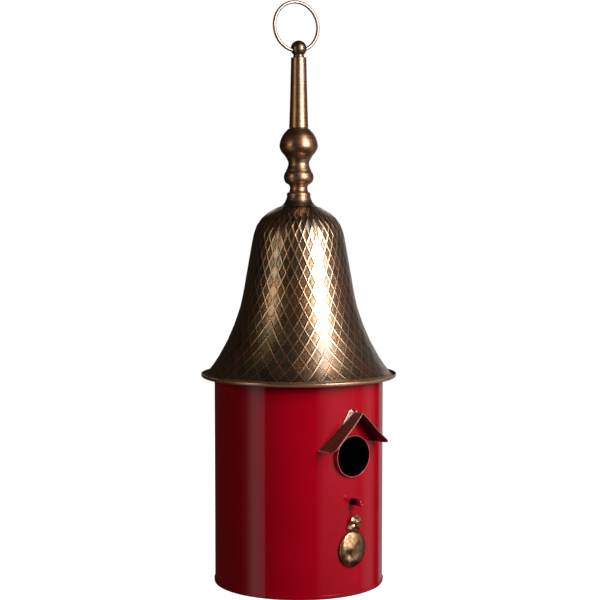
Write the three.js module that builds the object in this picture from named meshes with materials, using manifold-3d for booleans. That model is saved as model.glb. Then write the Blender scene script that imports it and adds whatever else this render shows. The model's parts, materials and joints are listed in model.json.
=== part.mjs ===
// A bell-roofed metal birdhouse: a red enamelled tube on a base pan, a spun copper bell for a roof,
// and a turned finial that screws down on a tie rod and carries the hanging ring.
// Millimetres, +Z up. The origin is the centre of the base, and the entrance faces -Y.
import * as THREE from "three";
import { mergeVertices } from "three/addons/utils/BufferGeometryUtils.js";
import Module from "manifold-3d";

const wasm = await Module();
wasm.setup();

// ---------- driving dimensions ----------
const GAP = 0.3; // clearance between pieces that touch on the real object
const TUBE_R = 81; // outside of the body tube
const SHEET = 1; // body sheet
const TUBE_BOTTOM = 1.5;
const TUBE_TOP = 209.3; // the bell rests on this edge
const BEAD_R = 81.8; // outside of the base pan's bead round the bottom
const BELL_SHEET = 0.9;
const RIM_R = 93.8; // outside of the bell's curled rim
const RIM_Z = 198.5; // underside of the bell's curled rim
const CROWN_Z = 361.4; // top of the bell's crown, under the finial
const ROD_R = 3; // tie rod
const HOLE_Z = 131.4; // entrance hole centre
const HOLE_R = 18.8; // clear entrance
const COLLAR_WALL = 1.3;
const COLLAR_PROUD = 2.2; // how far the collar stands out of the wall at its top and bottom
const RIDGE_Z = 173.4; // canopy ridge
const CANOPY_LEFT = { length: 49.2, pitch: 45 }; // the hand-folded slopes differ a little
const CANOPY_RIGHT = { length: 46.4, pitch: 42.5 };
const CANOPY_FRONT = 96.2; // distance of the canopy's front edge from the axis
const CANOPY_SHEET = 0.8;
const PERCH_Z = 89.2;
const PERCH_R = 3.2;
const PERCH_OUT = 14.3; // length of the perch outside the wall
const PERCH_STUD_R = 2;
const PIVOT_X = 2; // rivet that the clean-out cover hangs on
const PIVOT_Z = 69.8;
const PORT_Z = 44.1; // clean-out port in the wall
const PORT_R = 12;
const COVER_HALF_WIDTH = 15.5;
const COVER_HALF_HEIGHT = 17.2;
const RIVET_R = 1.5;
const STRAP_Z = 196; // underside of the cross strap
const STRAP_RIVET_Z = 204.4;
const BALL_R = 7.8; // finial's top ball
const BALL_Z = 511.2;
const CROSS_HOLE_R = 3.15; // hole through the top ball for the ring
const CROSS_HOLE_Z = 509.8;
const RING_R = 23.2; // hanging ring, to the middle of its wire
const WIRE_R = 1.6;
const RING_TURN = -10.4; // degrees that the cross hole is turned from +X
const RING_LEAN = -3.3; // degrees that the ring leans on its hinge, to the back
const RING_ROLL = -5; // degrees that the ring has rolled along its wire in the hole

const DEGREE = Math.PI / 180;
const WALL_IN = TUBE_R - SHEET;

// ---------- materials ----------
const finish = (color, roughness, metalness = 1) =>
  new THREE.MeshStandardMaterial({ color, roughness, metalness });
const RED_ENAMEL = finish(0xa4061c, 0.25, 0);
const COPPER = finish(0x7a4a30, 0.35);
const BRONZE = finish(0x9a7448, 0.35);
const STEEL = finish(0x8d9094, 0.45);

// ---------- scene graph ----------
const part = new THREE.Group();
// Fittings on the front wall: X is across, Y is up and Z points out of the wall, from the tube's axis.
const front = new THREE.Group();
front.rotation.x = Math.PI / 2;
part.add(front);

function add(parent, name, geometry, material, x = 0, y = 0, z = 0) {
  const mesh = new THREE.Mesh(geometry, material);
  mesh.name = name;
  mesh.position.set(x, y, z);
  parent.add(mesh);
  return mesh;
}

// ---------- helpers ----------
// A closed geometry as a manifold-3d solid, for cutting and joining.
function solid(geometry) {
  const bare = (geometry.index ? geometry.toNonIndexed() : geometry.clone())
    .deleteAttribute("normal")
    .deleteAttribute("uv");
  const merged = mergeVertices(bare, 1e-4);
  return new wasm.Manifold(
    new wasm.Mesh({
      numProp: 3,
      vertProperties: new Float32Array(merged.attributes.position.array),
      triVerts: new Uint32Array(merged.index.array),
    }),
  );
}

function geometryOf(made) {
  const mesh = made.getMesh();
  return new THREE.BufferGeometry()
    .setAttribute("position", new THREE.BufferAttribute(mesh.vertProperties, 3))
    .setIndex(new THREE.BufferAttribute(mesh.triVerts, 1));
}

const cut = (geometry, ...cutters) =>
  geometryOf(cutters.reduce((made, cutter) => made.subtract(solid(cutter)), solid(geometry)));

const join = (...geometries) =>
  geometryOf(geometries.map(solid).reduce((made, next) => made.add(next)));

// Turns a profile of [radius, height] points about the Z axis.
function turned(profile, segments) {
  const points = profile.map(([r, z]) => new THREE.Vector2(r, z));
  return new THREE.LatheGeometry(points, segments).rotateX(Math.PI / 2);
}

// A profile that closes on its own first point.
const closed = (profile) => [...profile, profile[0]];

// A smooth run of points through a few [radius, height] points.
function smooth(through, steps) {
  const curve = new THREE.SplineCurve(through.map(([r, z]) => new THREE.Vector2(r, z)));
  return curve.getPoints(steps).map((p) => [p.x, p.y]);
}

// Points on an arc about [r, z], from one angle to another in degrees.
function arc([r, z], radius, from, to, steps) {
  return Array.from({ length: steps + 1 }, (_, i) => {
    const a = (from + ((to - from) * i) / steps) * DEGREE;
    return [r + radius * Math.cos(a), z + radius * Math.sin(a)];
  });
}

// The same run of points moved to the right of its direction by a distance.
function offset(path, distance) {
  return path.map(([r, z], i) => {
    const before = path[Math.max(i - 1, 0)];
    const after = path[Math.min(i + 1, path.length - 1)];
    const [dr, dz] = [after[0] - before[0], after[1] - before[1]];
    const length = Math.hypot(dr, dz);
    return [r + (distance * dz) / length, z - (distance * dr) / length];
  });
}

const rod = (radius, from, to, segments = 20) =>
  turned([[0, from], [radius, from], [radius, to], [0, to]], segments);

const tube = (inner, outer, from, to, segments) =>
  turned(closed([[inner, from], [outer, from], [outer, to], [inner, to]]), segments);

// A hole cutter through the front wall, in the part's own frame.
const frontCutter = (radius, height, across = 0, segments = 16) =>
  rod(radius, 60, 90, segments).rotateX(Math.PI / 2).translate(across, 0, height);

// A flat plate about the Z axis, cut from a shape with an optional round hole at its middle.
function plate(shape, thickness, bore = 0, curveSegments = 8) {
  if (bore > 0) shape.holes.push(new THREE.Path().absarc(0, 0, bore, 0, 2 * Math.PI, true));
  return new THREE.ExtrudeGeometry(shape, { depth: thickness, bevelEnabled: false, curveSegments });
}

function hexNut(acrossFlats, bore, height) {
  const corner = acrossFlats / Math.sqrt(3);
  const corners = Array.from({ length: 6 }, (_, i) => {
    const a = i * 60 * DEGREE;
    return new THREE.Vector2(corner * Math.cos(a), corner * Math.sin(a));
  });
  return plate(new THREE.Shape(corners), height, bore);
}

// A solid rivet along Z: a flat inner head, a shank, and a domed outer head.
function rivet(shankR, headR, tail, head, domeHeight) {
  const dome = arc([0, 0], 1, 0, 68, 2).map(([c, s]) => [headR * c, head + domeHeight * s]);
  return turned(
    [
      [0, tail - 1],
      [headR, tail - 1],
      [headR, tail],
      [shankR, tail],
      [shankR, head],
      ...dome,
      [0, head + domeHeight],
    ],
    10,
  );
}

// ---------- body tube ----------
const CANOPY_RIVET = { across: 3.4, z: RIDGE_Z - 0.9, shank: 0.7, head: 1.3 };

function bodyTube() {
  const strapRivetHole = (side) =>
    rod(RIVET_R + GAP, 70, 90, 12)
      .rotateY(side * 90 * DEGREE)
      .translate(0, 0, STRAP_RIVET_Z);
  return cut(
    tube(WALL_IN, TUBE_R, TUBE_BOTTOM, TUBE_TOP, 72),
    frontCutter(HOLE_R + COLLAR_WALL + GAP, HOLE_Z, 0, 40),
    frontCutter(PORT_R, PORT_Z, 0, 32),
    frontCutter(PERCH_STUD_R + GAP, PERCH_Z),
    frontCutter(RIVET_R + GAP, PIVOT_Z, PIVOT_X),
    frontCutter(CANOPY_RIVET.shank + GAP, CANOPY_RIVET.z, -CANOPY_RIVET.across, 8),
    frontCutter(CANOPY_RIVET.shank + GAP, CANOPY_RIVET.z, CANOPY_RIVET.across, 8),
    strapRivetHole(1),
    strapRivetHole(-1),
  );
}
add(part, "body_tube", bodyTube(), RED_ENAMEL);

// ---------- base pan ----------
// A flat disc with an upstand inside the tube, and an edge that wraps the tube's bottom as a bead.
function basePan() {
  const lip = 3.6; // height of the bead outside the tube
  const upstand = 6;
  const slotOut = TUBE_R + GAP; // the groove that holds the tube
  const slotIn = WALL_IN - GAP;
  const slotFloor = 1.2;
  const pan = turned(
    [
      [0, 0],
      [BEAD_R - 0.5, 0],
      [BEAD_R, 0.6],
      [BEAD_R, lip - 0.3],
      [BEAD_R - 0.2, lip],
      [slotOut, lip - 0.3],
      [slotOut, slotFloor],
      [slotIn, slotFloor],
      [slotIn, upstand],
      [slotIn - SHEET, upstand],
      [slotIn - SHEET, SHEET],
      [0, SHEET],
    ],
    60,
  );
  const drains = [45, 135, 225, 315].map((a) =>
    rod(2.5, 0, 12, 12).translate(50 * Math.cos(a * DEGREE), 50 * Math.sin(a * DEGREE), 0),
  );
  return cut(pan, ...drains);
}
add(part, "base_pan", basePan(), RED_ENAMEL);

// ---------- entrance ----------
function entranceCollar() {
  const lip = TUBE_R + COLLAR_PROUD;
  const outer = HOLE_R + COLLAR_WALL;
  const back = 76;
  return turned(
    closed([
      [HOLE_R, back],
      [outer, back],
      [outer, lip - 0.4],
      [outer - 0.4, lip],
      [HOLE_R + 0.4, lip],
      [HOLE_R, lip - 0.4],
    ]),
    40,
  );
}
add(front, "entrance_collar", entranceCollar(), RED_ENAMEL, 0, HOLE_Z);

// One slope of the canopy, falling to the right from its ridge at the origin.
function slope({ length, pitch }) {
  const corner = 8;
  const outline = new THREE.Shape();
  outline.moveTo(0, -70);
  outline.lineTo(0, -CANOPY_FRONT);
  outline.lineTo(length - corner, -CANOPY_FRONT);
  outline.absarc(length - corner, corner - CANOPY_FRONT, corner, -Math.PI / 2, 0, false);
  outline.lineTo(length, -70);
  return plate(outline, CANOPY_SHEET, 0, 5)
    .translate(0, 0, -CANOPY_SHEET)
    .rotateY(pitch * DEGREE);
}

// The slope's fixing tab: folded up from the back edge and flat on the wall, widest by the ridge.
function fixingTab() {
  const inner = TUBE_R + GAP;
  const wedge = new THREE.Shape([
    new THREE.Vector2(0, -1.2),
    new THREE.Vector2(17, -18),
    new THREE.Vector2(8.6, -6.4),
    new THREE.Vector2(5.6, 0.4),
    new THREE.Vector2(0, 1),
  ]);
  const prism = plate(wedge, 40).rotateX(Math.PI / 2).translate(0, -60, 0);
  return solid(prism).intersect(solid(tube(inner, inner + CANOPY_SHEET, -30, 20, 80)));
}

// The back edge of both slopes follows the wall.
function canopy() {
  const right = solid(slope(CANOPY_RIGHT)).add(fixingTab());
  const left = solid(slope(CANOPY_LEFT)).add(fixingTab()).mirror([1, 0, 0]);
  const bore = CANOPY_RIVET.shank + GAP;
  return cut(
    geometryOf(right.add(left)).translate(0, 0, RIDGE_Z),
    rod(TUBE_R + GAP, 120, 200, 80),
    frontCutter(bore, CANOPY_RIVET.z, -CANOPY_RIVET.across, 8),
    frontCutter(bore, CANOPY_RIVET.z, CANOPY_RIVET.across, 8),
  );
}
add(part, "entrance_canopy", canopy(), COPPER);

for (const [name, side] of [["left", -1], ["right", 1]]) {
  const head = TUBE_R + 2 * GAP + CANOPY_SHEET;
  const pin = rivet(CANOPY_RIVET.shank, CANOPY_RIVET.head, WALL_IN - 2 * GAP, head, 0.8);
  add(front, `canopy_rivet_${name}`, pin, COPPER, side * CANOPY_RIVET.across, CANOPY_RIVET.z);
}

// ---------- perch ----------
function perchPeg() {
  const tip = TUBE_R + PERCH_OUT;
  return turned(
    [
      [0, 72],
      [PERCH_STUD_R, 72],
      [PERCH_STUD_R, TUBE_R + GAP],
      [PERCH_R, TUBE_R + GAP],
      [PERCH_R, tip - 0.8],
      [PERCH_R - 0.8, tip],
      [1.4, tip],
      [1.2, tip - 2.5],
      [0, tip - 2.5],
    ],
    20,
  );
}
add(front, "perch_peg", perchPeg(), RED_ENAMEL, 0, PERCH_Z);
add(front, "perch_nut", hexNut(7, PERCH_STUD_R + GAP, 3), STEEL, 0, PERCH_Z, 76.2);

// ---------- clean-out cover ----------
// The cover hangs on a rivet set a little to one side, so it rests off plumb, over the port.
const cover = new THREE.Group();
const COVER_DROP = PIVOT_Z - PORT_Z;
const COVER_SHEET = 0.8;
cover.position.set(PIVOT_X, PIVOT_Z, TUBE_R + 0.8);
cover.rotation.z = -Math.asin(PIVOT_X / COVER_DROP);
front.add(cover);

// A pressed oval dome, open behind, with a flat neck up to the rivet.
function coverPlate() {
  const height = 5;
  const outer = smooth(
    [[COVER_HALF_HEIGHT, 0], [16.9, 1.1], [13, 3.4], [7.5, 4.7], [0, height]],
    7,
  );
  const inner = smooth([[0, height - COVER_SHEET], [7.5, 3.9], [12.6, 2.6], [15.9, 0]], 5);
  const dome = turned(closed([...outer, ...inner]), 28)
    .scale(COVER_HALF_WIDTH / COVER_HALF_HEIGHT, 1, 1)
    .translate(0, -COVER_DROP, 0);
  const neck = new THREE.Shape();
  neck.moveTo(-3.4, -10.5);
  neck.lineTo(3.4, -10.5);
  neck.lineTo(3.2, 0);
  neck.absarc(0, 0, 3.2, 0, Math.PI, false);
  return join(dome, plate(neck, COVER_SHEET, RIVET_R + GAP, 6));
}
add(cover, "clean_out_cover", coverPlate(), BRONZE);

// A leaf with one lobe up and two lobes down and out, bowed over the neck and held by the same rivet.
function coverLeaf() {
  const apex = 2.5; // inside of the bow above the neck's back
  const bow = 14; // radius of the bow
  const leaf = new THREE.Shape();
  leaf.moveTo(0, 6.8);
  leaf.quadraticCurveTo(4, 6.2, 6, 2);
  leaf.quadraticCurveTo(8.6, -2, 8.4, -6.6);
  leaf.quadraticCurveTo(5.4, -7.2, 3.6, -5.6);
  leaf.quadraticCurveTo(0, -4.4, -3.6, -5.6);
  leaf.quadraticCurveTo(-5.4, -7.2, -8.4, -6.6);
  leaf.quadraticCurveTo(-8.6, -2, -6, 2);
  leaf.quadraticCurveTo(-4, 6.2, 0, 6.8);
  const block = plate(leaf, 12, 0, 4).translate(0, 0, -6);
  const sheet = tube(bow, bow + COVER_SHEET, -12, 12, 64)
    .rotateX(-Math.PI / 2)
    .translate(0, 0, -bow);
  const made = solid(block).intersect(solid(sheet)).subtract(solid(rod(RIVET_R + GAP, -9, 9)));
  return geometryOf(made).translate(0, 0, apex);
}
add(cover, "cover_leaf", coverLeaf(), BRONZE);

const coverPin = rivet(RIVET_R, 2.6, WALL_IN - 2 * GAP, TUBE_R + 4.5, 2);
add(front, "cover_rivet", coverPin, BRONZE, PIVOT_X, PIVOT_Z);

// ---------- cross strap and tie rod ----------
const STRAP = 2.5; // bar thickness
const STRAP_END = 79.1;

function crossStrap() {
  const width = 16;
  const top = TUBE_TOP - 0.8;
  const inside = STRAP_END - STRAP;
  const outline = new THREE.Shape([
    new THREE.Vector2(-STRAP_END, STRAP_Z),
    new THREE.Vector2(STRAP_END, STRAP_Z),
    new THREE.Vector2(STRAP_END, top),
    new THREE.Vector2(inside, top),
    new THREE.Vector2(inside, STRAP_Z + STRAP),
    new THREE.Vector2(-inside, STRAP_Z + STRAP),
    new THREE.Vector2(-inside, top),
    new THREE.Vector2(-STRAP_END, top),
  ]);
  const bar = plate(outline, width).rotateX(Math.PI / 2).translate(0, width / 2, 0);
  const rivetHoles = rod(RIVET_R + GAP, -90, 90, 12)
    .rotateY(90 * DEGREE)
    .translate(0, 0, STRAP_RIVET_Z);
  return cut(bar, rod(ROD_R + GAP, 190, 210), rivetHoles);
}
add(part, "cross_strap", crossStrap(), STEEL);

for (const [name, side] of [["left", -1], ["right", 1]]) {
  const pin = rivet(RIVET_R, 2.6, STRAP_END - STRAP - GAP, TUBE_R + GAP, 1.1);
  add(part, `strap_rivet_${name}`, pin.rotateY(side * 90 * DEGREE), STEEL, 0, 0, STRAP_RIVET_Z);
}

const TIE_NUT = 5; // height of the tie rod's nuts
add(part, "tie_rod", rod(ROD_R, STRAP_Z - 8, 398), STEEL);
const tieNut = hexNut(10, ROD_R + GAP, TIE_NUT);
add(part, "tie_rod_nut_lower", tieNut, STEEL, 0, 0, STRAP_Z - GAP - TIE_NUT);
add(part, "tie_rod_nut_upper", tieNut, STEEL, 0, 0, STRAP_Z + STRAP + GAP);

// ---------- bell roof ----------
// The sheet's upper surface, from the crown's hole down the bell and into the gutter of its curl.
function bellSurface() {
  const crown = [[ROD_R + 2 * GAP, CROWN_Z], [15, CROWN_Z]];
  const wall = smooth(
    [
      [19, 361.2],
      [24.5, 358.6],
      [33.8, 352],
      [39.6, 344.2],
      [43, 335],
      [48.5, 305],
      [54.6, 271.5],
      [60.7, 251.8],
      [68.9, 232.4],
      [79.3, 214],
      [86.2, 204.6],
      [90, 200.6],
    ],
    12,
  );
  const curl = arc([RIM_R - BELL_SHEET - 1, RIM_Z + BELL_SHEET + 1], 1, -125, 0, 3);
  return [...crown, ...wall, ...curl, [RIM_R - BELL_SHEET, RIM_Z + 3.5]];
}
const bellTop = bellSurface();
const bellUnder = offset(bellTop, BELL_SHEET);
add(part, "bell_roof", turned(closed([...bellUnder, ...bellTop.reverse()]), 52), COPPER);

// ---------- finial ----------
const BORE_R = ROD_R + GAP + 0.1;
const STUD_R = 2.5; // stud that ties the spindle, stem and top ball together
const SPINDLE_Z = 375.8; // bottom of the spindle
const SPINDLE_TOP = 435.7;

// The flared cup between the bell's crown and the spindle.
function finialBase() {
  const foot = CROWN_Z + GAP;
  const flare = smooth([[18.8, 362.1], [16.4, 363.6], [14.3, 365.5], [12.6, 367.6], [11.5, 369.8]], 6);
  const top = SPINDLE_Z - GAP;
  return turned(
    closed([
      [BORE_R, foot],
      [19, foot],
      ...flare,
      [11.2, 371.2],
      [11.2, 374.6],
      [10.6, top],
      [BORE_R, top],
    ]),
    28,
  );
}
add(part, "finial_base", finialBase(), COPPER);

// The turned spindle: neck, flattened ball, fillet, waist and large ball, bored for the tie rod.
function finialSpindle() {
  const boreTop = 402;
  const neck = smooth([[8.7, 377.2], [8.4, 378.9], [8.5, 380.6], [9.4, 382.2]], 3);
  const smallBall = smooth([[11.6, 383.4], [13.4, 385.8], [14.25, 389], [13.8, 392.4], [12.4, 395]], 7);
  const fillet = [[11.7, 395.3], [11.9, 396.4], [11.4, 397.4]];
  const waist = smooth([[11.1, 398.2], [10.2, 400.6], [9.9, 402.8], [10.4, 405.2]], 4);
  const largeBall = smooth(
    [
      [11.6, 407.3],
      [13.4, 410],
      [16.2, 413.4],
      [18, 417],
      [18.2, 420.6],
      [16.9, 426],
      [14.2, 431],
      [10, SPINDLE_TOP],
    ],
    10,
  );
  const body = turned(
    [
      [0, boreTop],
      [BORE_R, boreTop],
      [BORE_R, SPINDLE_Z],
      [9.3, SPINDLE_Z],
      ...neck,
      ...smallBall,
      ...fillet,
      ...waist,
      ...largeBall,
      [0, SPINDLE_TOP],
    ],
    24,
  );
  return cut(body, rod(STUD_R + GAP, 424, 440));
}
add(part, "finial_spindle", finialSpindle(), COPPER);

// The stem is a tapered sleeve over the stud.
function finialStem() {
  const foot = SPINDLE_TOP + GAP;
  return turned(
    closed([
      [STUD_R + 0.9, foot],
      [9.25, foot],
      [9.2, 438],
      [8.9, 444],
      [8.15, 467],
      [7.6, 490],
      [7.35, 502.2],
      [6.9, 502.9],
      [STUD_R + 0.9, 502.9],
    ]),
    28,
  );
}
add(part, "finial_stem", finialStem(), COPPER);
add(part, "finial_stud", rod(STUD_R, 424.4, 505.2, 16), STEEL);

function topBall() {
  const ball = turned(
    [[0, 503.2], [5.3, 503.2], ...arc([0, BALL_Z], BALL_R, -52, 80, 8), [0, BALL_Z + BALL_R]],
    24,
  );
  const crossHole = rod(CROSS_HOLE_R, -20, 20, 16)
    .rotateY(90 * DEGREE)
    .rotateZ(RING_TURN * DEGREE)
    .translate(0, 0, CROSS_HOLE_Z);
  return cut(ball, crossHole, rod(STUD_R + GAP, 500, 505.5, 16));
}
add(part, "top_ball", topBall(), COPPER);

// ---------- hanging ring ----------
// The ring hinges about the middle of the cross hole. Its curved wire passes a little below its own
// radius, so that it clears the hole's bottom in the middle and the hole's top at its mouths.
function hangingRing() {
  const rise = RING_R - 0.66;
  return new THREE.TorusGeometry(RING_R, WIRE_R, 8, 40).rotateX(Math.PI / 2).translate(0, 0, rise);
}
const ring = add(part, "hanging_ring", hangingRing(), COPPER, 0, 0, CROSS_HOLE_Z);
ring.rotation.set(RING_LEAN * DEGREE, RING_ROLL * DEGREE, RING_TURN * DEGREE, "ZXY");

export default part;
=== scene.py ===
"""A bell-roofed metal birdhouse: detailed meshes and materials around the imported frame.

Lengths are millimetres until a mesh is made, which is in metres. Camera and lights are in metres.
"""
import json
import math
import random

import bmesh
import bpy
import numpy as np
from mathutils import Matrix, Vector

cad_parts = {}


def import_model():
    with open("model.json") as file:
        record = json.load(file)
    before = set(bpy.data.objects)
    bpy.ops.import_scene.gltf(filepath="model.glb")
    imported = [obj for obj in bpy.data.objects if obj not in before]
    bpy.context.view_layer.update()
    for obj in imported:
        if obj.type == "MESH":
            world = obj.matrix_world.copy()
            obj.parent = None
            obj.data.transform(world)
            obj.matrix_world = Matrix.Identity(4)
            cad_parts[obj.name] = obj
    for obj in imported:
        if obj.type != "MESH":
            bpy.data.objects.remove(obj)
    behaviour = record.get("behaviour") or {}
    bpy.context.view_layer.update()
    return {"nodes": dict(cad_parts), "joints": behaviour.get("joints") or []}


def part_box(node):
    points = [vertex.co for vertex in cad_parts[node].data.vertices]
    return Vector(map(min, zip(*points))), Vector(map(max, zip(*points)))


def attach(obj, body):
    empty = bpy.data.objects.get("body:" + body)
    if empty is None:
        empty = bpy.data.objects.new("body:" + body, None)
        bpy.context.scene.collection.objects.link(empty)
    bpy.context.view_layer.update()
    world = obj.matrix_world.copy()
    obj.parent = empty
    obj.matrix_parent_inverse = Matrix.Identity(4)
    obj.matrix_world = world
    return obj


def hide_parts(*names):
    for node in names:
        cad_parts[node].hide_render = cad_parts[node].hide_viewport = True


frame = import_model()

MM = 0.001
TAU = 2 * math.pi


# ---------- sizes, from the frame ----------
def node_box(node):
    """Lowest and highest corner of a CAD node, in millimetres."""
    low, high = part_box(node)
    return np.array(low) / MM, np.array(high) / MM


def centre(node):
    low, high = node_box(node)
    return (low + high) / 2


GAP = 0.3  # between pieces that touch, as in the CAD
SHEET = 1.0  # of the body and its pan
tube_low, tube_high = node_box("body_tube")
TUBE_R = tube_high[0]
TUBE_IN = TUBE_R - SHEET
BEAD_R, _, PAN_Z = node_box("base_pan")[1]
RIM_R, _, CROWN_Z = node_box("bell_roof")[1]
RIM_Z = node_box("bell_roof")[0][2]
BELL_SHEET = 0.9
ROD_HOLE = 3.6  # radius of the hole in the crown for the tie rod
BORE = 3.4  # radius of the hole up the finial for the tie rod
STUD = 2.5  # radius of the stud that holds the finial together
collar_low, collar_high = node_box("entrance_collar")
HOLE_Z = centre("entrance_collar")[2]
COLLAR_OUT = (collar_high[2] - collar_low[2]) / 2
COLLAR_WALL = 1.3
PORT_R = 12
PORT_Z = 44.1
CANOPY_FRONT = -node_box("entrance_canopy")[0][1]
RIDGE_Z = 173.4  # middle of the canopy's fold
CANOPY_SHEET = 0.8
PERCH_Z = centre("perch_peg")[2]
PERCH_R = node_box("perch_peg")[1][0]
PERCH_TIP = -node_box("perch_peg")[0][1]
PERCH_SHANK = 2.0
COVER_SHANK = 1.5
joints = {joint["name"]: joint for joint in frame["joints"]}
PIVOT = np.array(joints["cover_swing"]["pos_m"]) / MM
RING_PIVOT = np.array(joints["ring_swing"]["pos_m"]) / MM
ring_axis = Vector(joints["ring_swing"]["axis"]).normalized()
COVER_DROP = PIVOT[2] - PORT_Z
COVER_TURN = math.asin(PIVOT[0] / COVER_DROP)


# ---------- mesh helpers ----------
def clamp(value):
    return min(1.0, max(0.0, value))


def new_object(name, data):
    obj = bpy.data.objects.new(name, data)
    bpy.context.scene.collection.objects.link(obj)
    return obj


def shade_smooth(mesh, sharp_degrees):
    """Turns the faces outwards and shades them smooth, but for edges sharper than an angle."""
    bm = bmesh.new()
    bm.from_mesh(mesh)
    bmesh.ops.recalc_face_normals(bm, faces=bm.faces)
    for face in bm.faces:
        face.smooth = True
    for edge in bm.edges:
        edge.smooth = len(edge.link_faces) == 2 and edge.calc_face_angle(0) < math.radians(sharp_degrees)
    bm.to_mesh(mesh)
    bm.free()


def radii(obj):
    """Each point's distance from the object's Z axis, in millimetres."""
    return [math.hypot(v.co.x, v.co.y) / MM for v in obj.data.vertices]


def make(name, verts, faces, sharp_degrees=38):
    """A smooth-shaded mesh object from points in millimetres, with its sharp edges kept."""
    mesh = bpy.data.meshes.new(name)
    mesh.from_pydata([[c * MM for c in v] for v in verts], [], faces)
    mesh.validate()
    shade_smooth(mesh, sharp_degrees)
    return new_object(name, mesh)


def fillet(points, radius, steps=4):
    """Rounds the corners of a run of [r, z] points, but for its two ends."""
    out = [points[0]]
    for before, here, after in zip(points, points[1:], points[2:]):
        b, h, a = (np.array(p, float) for p in (before, here, after))
        to_b, to_a = b - h, a - h
        len_b, len_a = np.linalg.norm(to_b), np.linalg.norm(to_a)
        cut = min(radius, 0.45 * len_b, 0.45 * len_a)
        start, end = h + to_b / len_b * cut, h + to_a / len_a * cut
        for i in range(steps + 1):
            t = i / steps
            out.append(list((1 - t) ** 2 * start + 2 * t * (1 - t) * h + t**2 * end))
    out.append(points[-1])
    return out


def smooth(points, steps):
    """A Catmull-Rom run through [r, z] points, with that many steps between each two."""
    p = [np.array(q, float) for q in points]
    p = [2 * p[0] - p[1], *p, 2 * p[-1] - p[-2]]
    out = []
    for a, b, c, d in zip(p, p[1:], p[2:], p[3:]):
        for i in range(steps):
            t = i / steps
            quadratic, cubic = 2 * a - 5 * b + 4 * c - d, 3 * b - a - 3 * c + d
            out.append(0.5 * (2 * b + (c - a) * t + quadratic * t**2 + cubic * t**3))
    out.append(p[-2])
    return [list(q) for q in out]


def arc(r, z, radius, start, end, steps):
    """[r, z] points on an arc, from one angle to another in degrees."""
    angles = np.radians(np.linspace(start, end, steps + 1))
    return [[r + radius * math.cos(a), z + radius * math.sin(a)] for a in angles]


def band(one, two):
    """The faces between two closed loops of points, given by their numbers. A loop may be one point."""
    corners = zip(one, one[1:] + one[:1], two[1:] + two[:1], two)
    faces = [list(dict.fromkeys(face)) for face in corners]
    return [face for face in faces if len(face) > 2]


def closed_bands(loops):
    """The faces from each loop to the next and from the last back to the first."""
    return [face for one, two in zip(loops, loops[1:] + loops[:1]) for face in band(one, two)]


def lathe_data(profile, segments):
    """Turns [r, z] points about Z. A profile that doesn't start and end on the axis closes on itself."""
    verts, faces, rings = [], [], []
    for r, z in profile:
        if r < 1e-6:
            rings.append([len(verts)] * segments)
            verts.append([0, 0, z])
        else:
            rings.append(list(range(len(verts), len(verts) + segments)))
            angles = [TAU * i / segments for i in range(segments)]
            verts += [[r * math.cos(a), r * math.sin(a), z] for a in angles]
    pairs = list(zip(rings, rings[1:]))
    if profile[0][0] > 1e-6:
        pairs.append((rings[-1], rings[0]))
    for low, high in pairs:
        faces += band(low, high)
    return verts, faces


def lathe(name, profile, segments=96, sharp_degrees=38):
    return make(name, *lathe_data(profile, segments), sharp_degrees)


def place(obj, matrix):
    """Moves the object's points, given a matrix whose lengths are millimetres."""
    scaled = matrix.copy()
    scaled.translation *= MM
    obj.data.transform(scaled)
    obj.data.update()
    return obj


def front(x, z, turn=0.0):
    """The frame of a fitting on the front wall: its Z points out, along -Y, and its Y points up."""
    upright = Matrix.Rotation(math.pi / 2, 4, "X") @ Matrix.Rotation(turn, 4, "Z")
    return Matrix.Translation((x, 0, z)) @ upright


def join(name, objects):
    """One object of several closed shells."""
    bm = bmesh.new()
    for obj in objects:
        bm.from_mesh(obj.data)
        bpy.data.objects.remove(obj)
    mesh = bpy.data.meshes.new(name)
    bm.to_mesh(mesh)
    bm.free()
    return new_object(name, mesh)


def boolean(obj, cutters):
    """Cuts the closed cutters out of the object."""
    for cutter in cutters:
        step = obj.modifiers.new("cut", "BOOLEAN")
        step.operation = "DIFFERENCE"
        step.solver = "EXACT"
        step.object = cutter
    evaluated = obj.evaluated_get(bpy.context.evaluated_depsgraph_get())
    mesh = bpy.data.meshes.new_from_object(evaluated)
    obj.modifiers.clear()
    obj.data = mesh
    for cutter in cutters:
        bpy.data.objects.remove(cutter)


def float_attribute(obj, name, values, domain="POINT"):
    layer = obj.data.attributes.new(name, "FLOAT", domain)
    layer.data.foreach_set("value", np.asarray(values, np.float32))


def paint(obj, material):
    obj.data.materials.clear()
    obj.data.materials.append(material)


def finish_piece(obj, body, material, node):
    """Gives a piece its material and its body, and hides the CAD node that it stands for."""
    paint(obj, material)
    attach(obj, body)
    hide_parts(node)


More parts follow.
